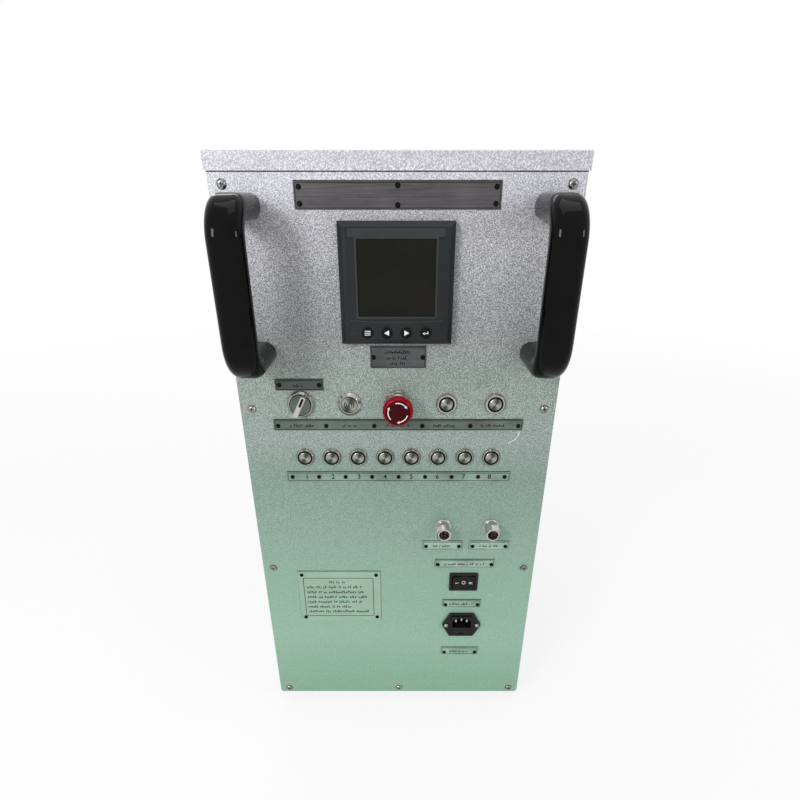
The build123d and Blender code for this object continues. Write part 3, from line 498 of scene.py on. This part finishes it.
def rounded(width, height, radius, steps=4):
    points = []
    for turn, (sx, sy) in enumerate(((1, 1), (-1, 1), (-1, -1), (1, -1))):
        for i in range(steps + 1):
            angle = (turn + i / steps) * pi / 2
            points.append((sx * (width / 2 - radius) + radius * cos(angle),
                           sy * (height / 2 - radius) + radius * sin(angle)))
    return points


def bar(width, height, x=0.0, y=0.0):
    return [(x - width / 2, y - height / 2), (x + width / 2, y - height / 2),
            (x + width / 2, y + height / 2), (x - width / 2, y + height / 2)]


def arc(inner, outer, start, end, steps=14):
    angles = [radians(start + (end - start) * i / steps) for i in range(steps + 1)]
    there = [(outer * cos(angle), outer * sin(angle)) for angle in angles]
    back = [(inner * cos(angle), inner * sin(angle)) for angle in reversed(angles)]
    return there + back


def makePiece(name, build, finishName, body="cabinet", smooth=False):
    mesh = bmesh.new()
    build(mesh)
    bmesh.ops.recalc_face_normals(mesh, faces=mesh.faces)
    data = bpy.data.meshes.new(name)
    mesh.to_mesh(data)
    mesh.free()
    data.materials.append(finishes[finishName])
    if smooth:
        data.polygons.foreach_set("use_smooth", [True] * len(data.polygons))
        data.set_sharp_from_angle(angle=radians(35))
    piece = bpy.data.objects.new(name, data)
    bpy.context.scene.collection.objects.link(piece)
    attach(piece, body)


# plates: engraved borders, and rows of short marks where plates carry small print
plateFace = 1.0
plateLook = {"inset": 0.9, "line": 0.55, "proud": 0.06, "markHigh": 3.3, "stroke": 0.72, "shadowWidth": 0.6,
             "rowPitch": 5.6, "rowShares": (1.0, 0.86, 0.6), "labelDrop": 0.4, "stripDrop": 0.6}
controlMarks = {"selector_collar": 26.0, "fault_buzzer": 16.0, "stop_collar": 26.0,
                "supply_button": 26.0, "confirm_button": 26.0}  # width of the marks under each control
smallPlates = [  # x, z, width, height, rows of marks, width of a row
    (0.4, 465.0, 55.4, 21.5, 3, 26.0),
    (-101.2, 437.0, 49.0, 11.5, 1, 12.0),
    (52.5, 242.6, 47.6, 12.0, 1, 22.0),
    (108.1, 242.6, 47.6, 12.0, 1, 22.0),
    (80.5, 216.5, 72.2, 11.8, 1, 50.0),
    (79.9, 155.5, 48.6, 12.0, 1, 30.0),
    (81.2, 76.0, 48.6, 12.2, 1, 26.0),
]


def markRow(mesh, place, width, high, seed):
    # word-like groups of upright and level strokes, none of them a letter
    draw = random.Random(seed)
    thick = plateLook["stroke"] * high / plateLook["markHigh"]
    at = -width / 2
    while at < width / 2 - high * 0.5:
        tall = high * draw.choice((0.62, 0.62, 1.0))
        slab(mesh, place, bar(thick, tall, at, (tall - high) / 2), 0, plateLook["proud"])
        reach = high * draw.choice((0.30, 0.38, 0.46))
        level = draw.choice((0.0, 0.31, 0.58)) * high - high / 2 + thick / 2
        slab(mesh, place, bar(reach, thick, at + reach / 2, level), 0.01, plateLook["proud"] - 0.01)
        at += reach + high * draw.choice((0.16, 0.16, 0.2, 0.75))


def edgeLine(mesh, x, z, width, height, corner=0.8):
    look = plateLook
    outer = rounded(width - 2 * look["inset"], height - 2 * look["inset"], corner)
    thin = 2 * (look["inset"] + look["line"])
    inner = rounded(width - thin, height - thin, max(corner - look["line"], 0.3))
    border(mesh, onPanel(x, z, plateFace), outer, inner, 0, look["proud"])


def plateSeams(mesh):
    # painted shadow: a dark line round each plate where it stands off the panel, widest along its top
    wide = plateLook["shadowWidth"]
    places = [(x * mm, baseZ + z * mm, width, height) for x, z, width, height, _, _ in smallPlates]
    for node in ("header_plate", "control_strip", "load_strip", "notice_plate"):
        low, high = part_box(node)
        places.append((*middleOf(node), (high[0] - low[0]) / mm, (high[2] - low[2]) / mm))
    for x, z, width, height in places:
        outer = [(a, b + wide * 0.4) for a, b in rounded(width + wide, height + wide, 0.6, 2)]
        border(mesh, onPanel(x, z), outer, rounded(width - 0.4, height - 0.4, 0.3, 2), 0, 0.2)


def plateLines(mesh):
    for x, z, width, height, _, _ in smallPlates:
        edgeLine(mesh, x * mm, baseZ + z * mm, width, height)
    for node in ("header_plate", "control_strip", "load_strip"):
        low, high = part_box(node)
        x, z = middleOf(node)
        edgeLine(mesh, x, z, (high[0] - low[0]) / mm, (high[2] - low[2]) / mm)


def plateMarks(mesh):
    for seed, (x, z, _, _, rows, width) in enumerate(smallPlates):
        for row in range(rows):
            drop = (row - (rows - 1) / 2) * plateLook["rowPitch"]
            place = onPanel(x * mm, baseZ + (z - plateLook["labelDrop"] - drop) * mm, plateFace)
            markRow(mesh, place, width * plateLook["rowShares"][row], plateLook["markHigh"], seed * 7 + row)
    stripZ = middleOf("control_strip")[1] - plateLook["stripDrop"] * mm
    for seed, (node, width) in enumerate(controlMarks.items()):
        markRow(mesh, onPanel(middleOf(node)[0], stripZ, plateFace), width, plateLook["markHigh"], 90 + seed)


# painted shadow lines round the plates
makePiece("plateSeams", plateSeams, "black_and_painted_shade")
makePiece("plateLines", plateLines, "mark_dark")
makePiece("plateMarks", plateMarks, "mark_dark")

noticeLook = {"line": 0.7, "width": 87.0, "height": 59.6, "dropX": -1.3, "dropZ": -1.3,
              "rows": (22.0, 70.0, 74.0, 76.0, 68.0, 56.0, 78.0), "pitch": 7.6, "first": 23.5, "high": 3.9}


def noticeLines(mesh):
    look = noticeLook
    x, z = middleOf("notice_plate")
    place = onPanel(x + look["dropX"] * mm, z + look["dropZ"] * mm, plateFace)
    outer = rounded(look["width"], look["height"], 2.0)
    inner = rounded(look["width"] - 2 * look["line"], look["height"] - 2 * look["line"], 1.5)
    border(mesh, place, outer, inner, 0, plateLook["proud"])
    for row, width in enumerate(look["rows"]):
        left = 0.0 if row == 0 else (width - max(look["rows"])) / 2
        spot = place @ Matrix.Translation((left, look["first"] - row * look["pitch"], 0))
        markRow(mesh, spot, width, look["high"], 40 + row)


makePiece("noticeLines", noticeLines, "mark_dark")

numberLook = {"size": 7.8, "proud": 0.05, "weight": 0.11}
for number in range(1, 9):
    glyph = bpy.data.curves.new(f"loadNumber{number}", "FONT")
    glyph.body = str(number)
    glyph.size = numberLook["size"]
    glyph.extrude = numberLook["proud"]
    glyph.offset = numberLook["weight"]
    glyph.align_x = "CENTER"
    glyph.align_y = "CENTER"
    glyph.materials.append(finishes["mark_dark"])
    label = bpy.data.objects.new(f"loadNumber{number}", glyph)
    bpy.context.scene.collection.objects.link(label)
    label.matrix_world = onPanel(middleOf(f"load_button_{number}")[0], middleOf("load_strip")[1], plateFace)
    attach(label, "cabinet")
print("plates marked")

# meter: key surrounds and signs, window frame, raised band and ridges
meterLook = {"face": 12.0, "seatOuter": 6.1, "seatInner": 4.65, "ringOuter": 6.5, "keyTop": 13.0, "sign": 3.3}
keys = ("menu_key", "left_key", "right_key", "enter_key")


def keySeats(mesh):
    look = meterLook
    for key in keys:
        x, z = middleOf(key)
        lathe(mesh, onPanel(x, z, look["face"]), [(look["seatInner"], 0), (look["seatOuter"], 0),
              (look["seatOuter"], 0.25), (look["seatInner"], 0.6)])


def keyRings(mesh):
    look = meterLook
    for key in keys:
        x, z = middleOf(key)
        lathe(mesh, onPanel(x, z, look["face"]), [(look["seatOuter"] + 0.02, 0), (look["ringOuter"], 0),
              (look["ringOuter"] - 0.1, 0.35), (look["seatOuter"] + 0.1, 0.35)])


def keySign(key):
    size = meterLook["sign"]
    shapes = {
        "menu_key": [bar(size * 1.7, 0.7, 0, y) for y in (-1.7, 0, 1.7)],
        "left_key": [[(-size * 0.85, 0), (size * 0.6, -size * 0.75), (size * 0.6, size * 0.75)]],
        "right_key": [[(size * 0.85, 0), (-size * 0.6, size * 0.75), (-size * 0.6, -size * 0.75)]],
        "enter_key": [bar(size * 1.3, 0.7, 0.5, -0.4), bar(0.7, 1.9, 1.9, 0.6),
                      [(-size * 0.95, -0.4), (-size * 0.25, -1.7), (-size * 0.25, 0.9)]],
    }

    def build(mesh):
        x, z = middleOf(key)
        for outline in shapes[key]:
            slab(mesh, onPanel(x, z, meterLook["keyTop"]), outline, 0, 0.06)
    return build


def ridge(mesh, place, width, rise, thick, proud, steps=16):
    # a shallow curved bar, highest in the middle
    xs = [width * (i / steps - 0.5) for i in range(steps + 1)]
    upper = [(x, rise * (1 - (2 * x / width) ** 2)) for x in xs]
    slab(mesh, place, [(x, y - thick) for x, y in upper] + list(reversed(upper)), 0, proud)


def meterLines(mesh):
    face = meterLook["face"]
    x = middleOf("meter_case")[0]
    keyZ = middleOf("menu_key")[1]
    for side in (-1, 1):
        slab(mesh, onPanel(x + side * 41.5 * mm, keyZ, face), bar(9.0, 0.4), 0, 0.08)
    screenX, screenZ = middleOf("meter_screen")
    window = onPanel(screenX, screenZ, face)
    border(mesh, window, rounded(75.6, 69.6, 2.2), rounded(72.2, 66.2, 0.8), 0, 0.35)
    ridge(mesh, window @ Matrix.Translation((0, 36.6, 0)), 88.0, 1.4, 0.9, 0.5)
    ridge(mesh, window @ Matrix.Translation((0, -36.2, 0)), 88.0, -1.6, 0.9, 0.5)


def meterBand(mesh):
    x, z = middleOf("meter_case")
    place = onPanel(x, z + 44.0 * mm, 11.4)
    slab(mesh, place, rounded(88.4, 7.4, 2.2), 0, 0.75)


makePiece("keySeats", keySeats, "rocker_black", smooth=True)
makePiece("keyRings", keyRings, "bezel_edge", smooth=True)
for key in keys:
    makePiece(key.replace("_key", "Sign"), keySign(key), "mark_white", f"meter_{key}")
makePiece("meterLines", meterLines, "bezel_edge")
makePiece("meterBand", meterBand, "bezel_edge")
print("meter marked")

# push buttons: black seat ring inside each flange and a small index notch above
seatLook = {"inner": 6.45, "outer": 8.2, "floor": 2.62, "top": 2.95, "notchUp": 9.0}
buttons = [f"load_button_{i}" for i in range(1, 9)] + ["supply_button", "confirm_button"]


def seatRings(mesh):
    look = seatLook
    for node in buttons:
        x, z = middleOf(node)
        lathe(mesh, onPanel(x, z), [(look["inner"], look["floor"]), (look["outer"], look["floor"]),
              (look["outer"], look["top"]), (look["inner"], look["top"])])
        slab(mesh, onPanel(x, z), bar(1.1, 0.9, 0, look["notchUp"]), 2.2, 3.35)


makePiece("seatRings", seatRings, "black_and_painted_shade", smooth=True)

# stop button: three arrows that run clockwise
arrowLook = {"inner": 9.4, "outer": 10.4, "span": 66.0, "head": 1.8, "face": 29.0, "proud": 0.1}


def stopArrows(mesh):
    look = arrowLook
    x, z = middleOf("stop_head")
    middle = (look["inner"] + look["outer"]) / 2
    for i in range(3):
        place = onPanel(x, z, look["face"]) @ turned(i * 120.0 + 20.0)
        slab(mesh, place, arc(look["inner"], look["outer"], 18.0, 18.0 + look["span"]), 0, look["proud"])
        tip = place @ turned(18.0) @ Matrix.Translation((middle, 0, 0))
        half, long = look["head"] * 0.8, look["head"] * 1.3
        slab(mesh, tip, [(0.2, -long), (half, 0.2), (-half, 0.2)], 0, look["proud"])


makePiece("stopArrows", stopArrows, "mark_white", "stop_button")

# selector: dark pointer inlay on the upper half of the bar
inlayLook = {"width": 2.4, "length": 9.5, "start": 1.2, "top": 14.5, "tilt": -27.0}


def pointerInlay(mesh):
    look = inlayLook
    x, z = middleOf("selector_collar")
    place = onPanel(x, z, look["top"]) @ turned(look["tilt"])
    slab(mesh, place, bar(look["width"], look["length"], 0, look["start"] + look["length"] / 2), 0, 0.12)


def knobFace(mesh):
    x, z = middleOf("selector_collar")
    lathe(mesh, onPanel(x, z, 6.0), [(0.4, 0), (10.3, 0), (10.3, 0.08), (0.4, 0.12)], 64)


def knobGap(mesh):
    x, z = middleOf("selector_collar")
    lathe(mesh, onPanel(x, z), [(10.4, 5.0), (11.3, 5.0), (11.3, 6.12), (10.4, 6.12)], 64)


makePiece("knobGap", knobGap, "black_and_painted_shade", "selector", smooth=True)
makePiece("pointerInlay", pointerInlay, "mark_dark", "selector")
makePiece("knobFace", knobFace, "knob_face", "selector")

# fault buzzer: dark groove round the grille, and sound waves either side of its middle
buzzerLook = {"grooveIn": 8.1, "grooveOut": 8.8, "sunk": 0.6, "waves": (2.4, 4.4), "stroke": 0.95, "span": 40.0}


def buzzerMarks(mesh):
    look = buzzerLook
    x, z = middleOf("fault_buzzer")
    face = (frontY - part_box("fault_buzzer")[0][1]) / mm
    lathe(mesh, onPanel(x, z), [(look["grooveIn"], face - look["sunk"]), (look["grooveOut"], face - look["sunk"]),
          (look["grooveOut"], face + 0.04), (look["grooveIn"], face + 0.04)], 64)
    for radius in look["waves"]:
        for middle in (0, 180):
            wave = arc(radius, radius + look["stroke"], middle - look["span"], middle + look["span"])
            slab(mesh, onPanel(x, z, face), wave, 0, 0.09)


def buzzerFace(mesh):
    x, z = middleOf("fault_buzzer")
    face = (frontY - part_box("fault_buzzer")[0][1]) / mm
    lathe(mesh, onPanel(x, z, face), [(0.85, 0), (buzzerLook["grooveIn"], 0), (buzzerLook["grooveIn"], 0.03),
          (0.85, 0.03)], 64)


makePiece("buzzerFace", buzzerFace, "cap_metal")
makePiece("buzzerMarks", buzzerMarks, "black_and_painted_shade")

# rocker: bar, ring and double bar, each lying on its own slope
rockerLook = {"slope": 9.3, "reach": 8.6, "rise": 3.62, "valley": 2.75}


def rockerMarks(mesh):
    look = rockerLook
    x, z = middleOf("rocker_frame")
    for side in (-1, 1):
        tilt = Matrix.Rotation(radians(-side * look["slope"]), 4, "Y")
        place = onPanel(x, z) @ Matrix.Translation((side * look["reach"], 0, look["rise"])) @ tilt
        for shift in ((0.0,) if side < 0 else (-0.9, 0.9)):
            slab(mesh, place, bar(4.2, 0.7, 0, shift), 0, 0.08)
    lathe(mesh, onPanel(x, z), [(1.7, look["valley"]), (2.3, look["valley"]),
          (2.3, look["valley"] + 0.08), (1.7, look["valley"] + 0.08)], 24)


makePiece("rockerMarks", rockerMarks, "mark_white", "rocker")

# data ports: coupling thread round each barrel
threadLook = {"barrel": 7.58, "crest": 7.95, "start": 10.0, "end": 20.2, "pitch": 1.0}
portFlange = 9.6  # from the end of the box of both ports to the middle of one


def portMiddles():
    low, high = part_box("port_shells")
    z = (low[2] + high[2]) / 2
    return (low[0] + portFlange * mm, z), (high[0] - portFlange * mm, z)


def portThreads(mesh):
    look = threadLook
    for x, z in portMiddles():
        place = onPanel(x, z)
        at = look["start"]
        while at < look["end"]:
            lathe(mesh, place, [(look["barrel"], at), (look["barrel"], at + look["pitch"] * 0.9),
                  (look["crest"], at + look["pitch"] * 0.45)], 40)
            at += look["pitch"]


pinLook = {"radius": 0.6, "circle": 2.7, "proud": 3.0, "count": 4}


def portPins(mesh):
    look = pinLook
    face = (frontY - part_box("port_inserts")[0][1]) / mm
    for x, z in portMiddles():
        for i in range(look["count"]):
            angle = radians(45.0 + i * 360.0 / look["count"])
            spot = onPanel(x, z, face) @ Matrix.Translation(
                (look["circle"] * cos(angle), look["circle"] * sin(angle), 0))
            lathe(mesh, spot, [(0.02, 0), (look["radius"], 0), (look["radius"], look["proud"] - 0.3),
                  (0.02, look["proud"])], 12)


makePiece("portThreads", portThreads, "port_plate", smooth=True)
makePiece("portPins", portPins, "pin_copper", smooth=True)

# panel screws: painted shadow rings round the heads, painted shade in their cross recesses, and the lower pair on the
# front
screwLook = {"rim": 4.35, "inset": 12.0, "heights": (7.0, 210.0, 411.0, 614.0), "extra": 210.0,
             "head": [(0.02, 0), (4.0, 0), (4.0, 0.7), (3.3, 1.7), (2.0, 2.15), (0.02, 2.2)], "cross": (3.8, 0.8)}


def screwSpots():
    look = screwLook
    reach = (panelHigh[0] - panelLow[0]) / 2 - look["inset"] * mm
    spots = [(side * reach, baseZ + z * mm) for side in (-1, 1) for z in look["heights"]]
    return spots + [(0.0, baseZ + look["heights"][0] * mm)]


def screwRims(mesh):
    # painted shadow ring round each head
    for x, z in screwSpots():
        lathe(mesh, onPanel(x, z), [(3.9, 0), (screwLook["rim"], 0), (screwLook["rim"], 0.12), (3.9, 0.12)])


def lowerScrews(mesh):
    for x, z in screwSpots():
        if abs(z - baseZ - screwLook["extra"] * mm) < mm:
            lathe(mesh, onPanel(x, z), screwLook["head"])


def screwCrosses(mesh):
    # painted shade: dark crosses where the heads' recesses are
    long, wide = screwLook["cross"]
    for x, z in screwSpots():
        place = onPanel(x, z, 2.2)
        slab(mesh, place, bar(long, wide), -0.1, 0.03)
        slab(mesh, place, bar(wide, long), -0.1, 0.04)


makePiece("screwRims", screwRims, "black_and_painted_shade", smooth=True)
makePiece("lowerScrews", lowerScrews, "screw_steel", smooth=True)
makePiece("screwCrosses", screwCrosses, "black_and_painted_shade")

# painted shadow line under the lid's lip, and one old scuff below the end of the control strip
shadowAndScuffLook = {"shadowWidth": 0.9, "x": 117.0, "z": 386.0, "radius": 12.0, "stroke": 0.8, "turn": (-82.0, 4.0)}


def lidSeam(mesh):
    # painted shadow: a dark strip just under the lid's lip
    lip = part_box("top_cover")[0][2] - shadowAndScuffLook["shadowWidth"] * mm / 2
    slab(mesh, onPanel(0.0, lip), bar((panelHigh[0] - panelLow[0]) / mm, shadowAndScuffLook["shadowWidth"]), 0.0, 0.05)


def scuffMark(mesh):
    look = shadowAndScuffLook
    line = arc(look["radius"], look["radius"] + look["stroke"], *look["turn"])
    slab(mesh, onPanel(look["x"] * mm, baseZ + look["z"] * mm), line, 0.0, 0.03)


makePiece("lidSeam", lidSeam, "black_and_painted_shade")
makePiece("scuffMark", scuffMark, "scuff_pale")
print("controls marked")

# resistor elements: crimped fins on the column behind the outlet slots
finLook = {"inner": 6.0, "outer": 10.5, "thick": 0.5, "pitch": 7.0, "count": 20,
           "rows": 11, "rowPitch": 0.048, "endGap": 0.015}


def elementFins(mesh):
    look = finLook
    low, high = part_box("resistor_elements")
    x = high[0] - look["inner"] * mm
    run = Matrix.Rotation(pi / 2, 4, "X")
    steps = int((high[1] - low[1] - 2 * look["endGap"]) / mm / look["pitch"])
    for row in range(look["rows"]):
        z = low[2] + look["inner"] * mm + row * look["rowPitch"]
        for i in range(steps):
            y = low[1] + look["endGap"] + i * look["pitch"] * mm
            place = Matrix.Translation((x, y, z)) @ run @ Matrix.Diagonal((mm, mm, mm, 1))
            lathe(mesh, place, [(look["inner"], 0), (look["outer"], 0), (look["outer"], look["thick"]),
                  (look["inner"], look["thick"])], look["count"])


makePiece("elementFins", elementFins, "element_steel")
print("fins made")

# studio
studio = {"floor": grey(0.84), "reach": 9.0, "ambient": 0.5, "fade": (0.9, 2.6), "floorGlow": 0.8}
lamps = [  # name, place, what it faces, size, watts
    ("keyLamp", (-1.15, -1.95, 1.3), (0, 0, 0.40), 0.6, 26.0),
    ("fillLamp", (1.6, -1.4, 1.1), (0, 0, 0.30), 0.4, 8.0),
    ("topLamp", (0.1, -0.2, 2.4), (0, 0, 0.30), 1.4, 11.0),
    ("rearLamp", (-0.6, 2.0, 1.7), (0, 0, 0.35), 1.3, 17.0),
]

floorMesh = bpy.data.meshes.new("floor")
floorReach = studio["reach"]
floorMesh.from_pydata([(x * floorReach, y * floorReach, 0) for x, y in ((-1, -1), (1, -1), (1, 1), (-1, 1))],
                      [], [(0, 1, 2, 3)])
floor = bpy.data.objects.new("floor", floorMesh)
bpy.context.scene.collection.objects.link(floor)
floorFinish = Finish("floorFinish", {"Roughness": 0.9, "Base Color": studio["floor"], "Specular IOR Level": 0.1})
distance = floorFinish.vectors("LENGTH", floorFinish.place(), output=1)
near, far = studio["fade"]
away = floorFinish.add("ShaderNodeMapRange", None, {"Value": distance, "From Min": near, "From Max": far})
glow = floorFinish.add("ShaderNodeEmission", None, {"Color": grey(1.0), "Strength": 1.0})
share = floorFinish.seenRays() * (studio["floorGlow"] + (1.0 - studio["floorGlow"]) * away)
surface = Reading(floorFinish, floorFinish.shader.outputs[0])
blended = floorFinish.add("ShaderNodeMixShader", None, {0: share, 1: surface, 2: glow})
floorFinish.feed(floorFinish.tree.nodes["Material Output"].inputs[0], blended)
floorMesh.materials.append(floorFinish.material)


class Sky(Finish):  # the world's nodes, built the same way
    def __init__(self, world):
        world.use_nodes = True
        self.tree = world.node_tree
        self.shader = self.tree.nodes["Background"]


world = bpy.data.worlds.new("studioWorld")
bpy.context.scene.world = world
sky = Sky(world)
sky.feed(sky.shader.inputs["Color"], grey(1.0))
sky.feed(sky.shader.inputs["Strength"], studio["ambient"] + (1.0 - studio["ambient"]) * sky.seenRays())

for name, place, target, size, watts in lamps:
    lamp = bpy.data.lights.new(name, "AREA")
    lamp.shape = "SQUARE"
    lamp.size = size
    lamp.energy = watts
    holder = bpy.data.objects.new(name, lamp)
    holder.location = place
    holder.rotation_euler = (Vector(target) - Vector(place)).to_track_quat("-Z", "Y").to_euler()
    holder.visible_camera = False
    bpy.context.scene.collection.objects.link(holder)

cameraLook = {"side": 3.4, "away": 577.0, "high": 607.8, "pitch": 60.0, "lens": 25.695, "shift": (-0.0016, 0.1525)}
cameraData = bpy.data.cameras.new("camera")
cameraData.sensor_width = 36.0
cameraData.lens = cameraLook["lens"]
cameraData.shift_x, cameraData.shift_y = cameraLook["shift"]
cameraData.clip_start = 0.01
camera = bpy.data.objects.new("camera", cameraData)
camera.location = (cameraLook["side"] * mm, frontY - cameraLook["away"] * mm, baseZ + cameraLook["high"] * mm)
camera.rotation_euler = (radians(cameraLook["pitch"]), 0, 0)
bpy.context.scene.collection.objects.link(camera)
bpy.context.scene.camera = camera
bpy.context.scene.view_settings.view_transform = "Standard"
print("studio set")
